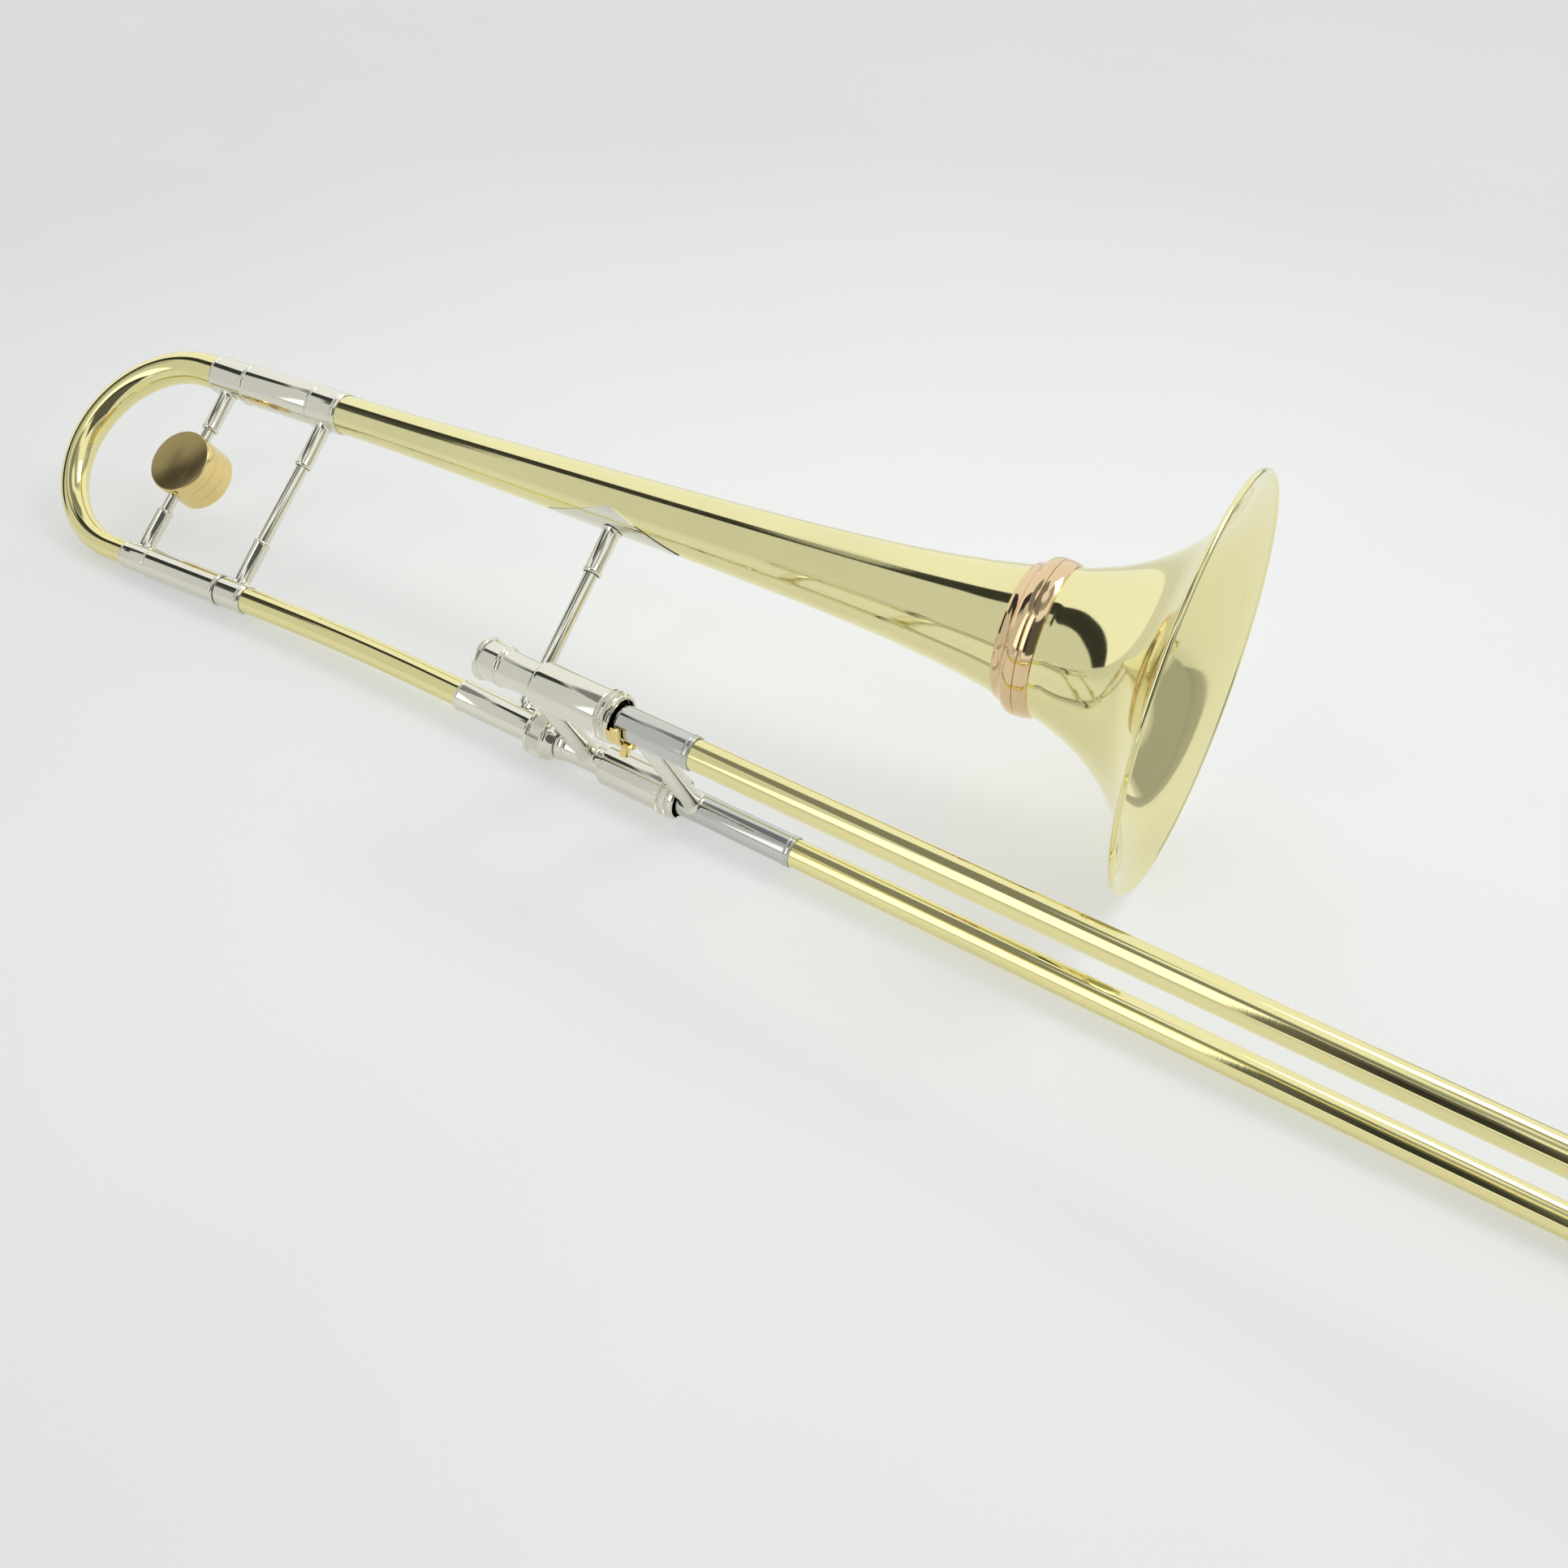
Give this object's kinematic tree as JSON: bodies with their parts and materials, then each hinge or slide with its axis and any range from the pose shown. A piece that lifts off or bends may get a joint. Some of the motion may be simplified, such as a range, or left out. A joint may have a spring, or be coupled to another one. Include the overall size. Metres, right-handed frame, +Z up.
{
  "type": "tenor trombone",
  "caption": "Straight tenor trombone: screw-off bell flare, bell section with tuning slide and counterweight, closed hand slide with lock and water key.",
  "frame": {"origin": "centre of the bounding box at floor level, with the instrument lying on the bell rim, the tuning-slide leg and the end of the lower slide tube", "axes": "+X along the instrument toward the slide bow, +Z up, +Y toward the bell side"},
  "size_m": [1.1682, 0.2926, 0.2015],
  "materials": {
    "chrome": "hard chrome plated tube",
    "cork": "natural cork",
    "gold_plate": "gold-plated brass",
    "nickel_silver": "polished nickel silver",
    "rose_brass": "polished rose brass",
    "rubber": "matt black rubber",
    "yellow_brass": "polished lacquered yellow brass"
  },
  "bodies": {
    "bell_section": {"bell_stem": "yellow_brass", "bell_stem_ring": "rose_brass", "bell_tuning_sleeve": "nickel_silver", "bell_brace_ferrule": "nickel_silver", "neckpipe_inner_leg": "nickel_silver", "neckpipe_ferrule": "nickel_silver", "neckpipe": "yellow_brass", "receiver_ferrule": "nickel_silver", "rear_brace_leg_socket": "nickel_silver", "rear_brace_bell_socket": "nickel_silver", "rear_brace_rod": "nickel_silver", "front_brace_bell_socket": "nickel_silver", "front_brace_foot": "nickel_silver", "front_brace_rod": "nickel_silver", "front_brace_flange": "nickel_silver"},
    "tuning_slide": {"tuning_crook": "yellow_brass", "tuning_bell_ferrule": "nickel_silver", "tuning_inner_leg": "nickel_silver", "tuning_leg_ferrule": "nickel_silver", "tuning_outer_sleeve": "nickel_silver", "tuning_brace_leg_socket": "nickel_silver", "tuning_brace_bell_socket": "nickel_silver", "tuning_brace_rod": "nickel_silver", "counterweight_front": "gold_plate", "counterweight_middle": "gold_plate", "counterweight_back": "gold_plate"},
    "bell_flare": {"bell_flare": "yellow_brass", "rim_wire": "yellow_brass", "bell_flare_ring": "rose_brass"},
    "inner_slide": {"slide_tenon": "nickel_silver", "mouthpiece_receiver": "nickel_silver", "upper_cork_barrel": "nickel_silver", "lower_cork_barrel": "nickel_silver", "upper_inner_tube": "chrome", "lower_inner_tube": "chrome", "upper_barrel_cork": "cork", "lower_barrel_cork": "cork", "inner_hand_brace": "nickel_silver", "inner_brace_saddle_lower": "nickel_silver", "inner_brace_saddle_upper": "nickel_silver"},
    "bell_lock_nut": {"bell_lock_nut": "nickel_silver"},
    "slide_lock": {"slide_lock_ring": "nickel_silver", "slide_lock_hook": "gold_plate"},
    "outer_slide": {"upper_outer_sleeve": "nickel_silver", "upper_outer_tube": "yellow_brass", "upper_bow_ferrule": "nickel_silver", "lower_outer_sleeve": "nickel_silver", "lower_outer_tube": "yellow_brass", "lower_bow_ferrule": "nickel_silver", "outer_hand_brace": "nickel_silver", "outer_brace_saddle_lower": "nickel_silver", "outer_brace_saddle_upper": "nickel_silver", "slide_lock_catch": "gold_plate", "slide_bow": "yellow_brass", "bumper_holder": "nickel_silver", "rubber_bumper": "rubber", "water_key_nipple": "nickel_silver", "water_key_saddle": "nickel_silver"},
    "water_key": {"water_key_lever": "nickel_silver", "water_key_cork": "cork"}
  },
  "joints": [
    {"name": "tuning_slide_pull", "type": "slide", "parent": "bell_section", "child": "tuning_slide", "axis": [-0.9995, 0, -0.03], "range_m": [0, 0.04]},
    {"name": "bell_flare_screw", "type": "hinge", "parent": "bell_section", "child": "bell_flare", "pos_m": [0.02535, 0.04553, 0.09849], "axis": [0.9995, 0, 0.03], "range_deg": [0, 1080]},
    {"name": "slide_swivel", "type": "hinge", "parent": "bell_section", "child": "inner_slide", "pos_m": [-0.18282, -0.05789, 0.01229], "axis": [0.9989, -0.0471, -0.0064], "range_deg": [-25, 45]},
    {"name": "lock_nut_turn", "type": "hinge", "parent": "inner_slide", "child": "bell_lock_nut", "pos_m": [-0.19981, -0.05709, 0.0124], "axis": [0.9989, -0.0471, -0.0064], "range_deg": [0, 1080]},
    {"name": "slide_lock_turn", "type": "hinge", "parent": "inner_slide", "child": "slide_lock", "pos_m": [-0.11825, -0.10882, 0.09045], "axis": [0.9989, -0.0471, -0.0064], "range_deg": [-35, 0]},
    {"name": "hand_slide", "type": "slide", "parent": "inner_slide", "child": "outer_slide", "axis": [0.9989, -0.0471, -0.0064], "range_m": [0, 0.56]},
    {"name": "water_key_lift", "type": "hinge", "parent": "outer_slide", "child": "water_key", "pos_m": [0.51136, -0.07841, 0.00706], "axis": [0.0094, 0.0637, 0.9979], "range_deg": [0, 20], "stiffness_Nm_per_rad": 0.02, "springref_deg": -20.05}
  ]
}
